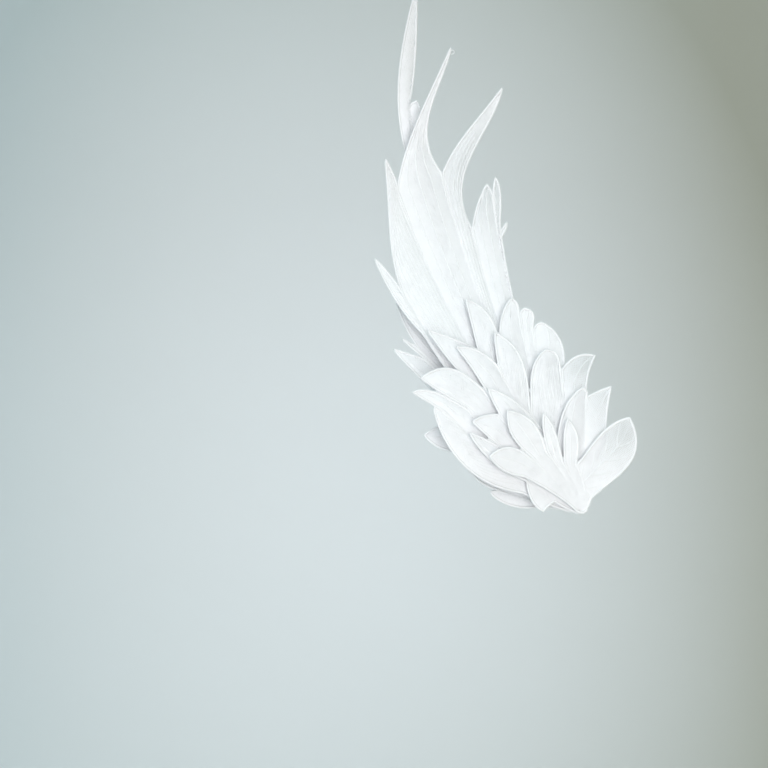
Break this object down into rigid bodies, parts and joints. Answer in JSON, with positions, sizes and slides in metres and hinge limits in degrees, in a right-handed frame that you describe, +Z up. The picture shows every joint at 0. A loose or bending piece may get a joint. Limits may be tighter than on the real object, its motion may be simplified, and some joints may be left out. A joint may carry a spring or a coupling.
{
  "type": "angel wing hair clip",
  "caption": "White layered lace wing on a flat hair clip: fanned covert feathers at the root and tall pointed flight feathers, worn upright at the side of the head.",
  "frame": {"origin": "middle of the slit of the hair clip, where the hair goes", "axes": "+Z up towards the tip of the tallest feather, +Y into the hair, +X towards the back of the head"},
  "size_m": [0.1259, 0.0698, 0.2458],
  "materials": {
    "lace": "white satin-stitch lace, softly matte",
    "clip": "plain satin metal"
  },
  "bodies": {
    "root": {"under_panel": "lace", "rear_flight_panel": "lace", "flight_panel": "lace", "secondary_panel": "lace", "greater_covert_panel": "lace", "lesser_covert_panel": "lace", "shoulder_panel": "lace", "hair_clip": "clip"}
  },
  "joints": []
}
